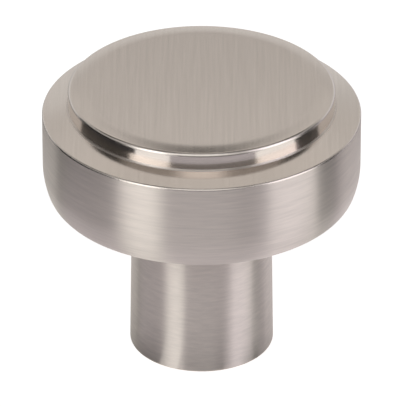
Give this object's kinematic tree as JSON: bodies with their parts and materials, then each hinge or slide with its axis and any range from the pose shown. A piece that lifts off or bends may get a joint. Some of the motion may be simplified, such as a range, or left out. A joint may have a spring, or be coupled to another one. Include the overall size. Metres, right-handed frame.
{
  "type": "cabinet knob",
  "caption": "Round knob for a cabinet door or drawer: a tapered stem, a wide head with a rounded lower edge and a raised disc on top, with a blind tapped hole in the foot.",
  "frame": {"origin": "centre of the flat seat that sits against the door, on the knob's axis", "axes": "+Z along the knob's axis, away from the door, through the centre of the top; the knob is round about Z, so X and Y are any pair across it"},
  "size_m": [0.032, 0.032, 0.029],
  "materials": {
    "satin_nickel": "brushed satin nickel plate, polished on the wall of the raised disc"
  },
  "bodies": {
    "root": {"knob": "satin_nickel"}
  },
  "joints": []
}
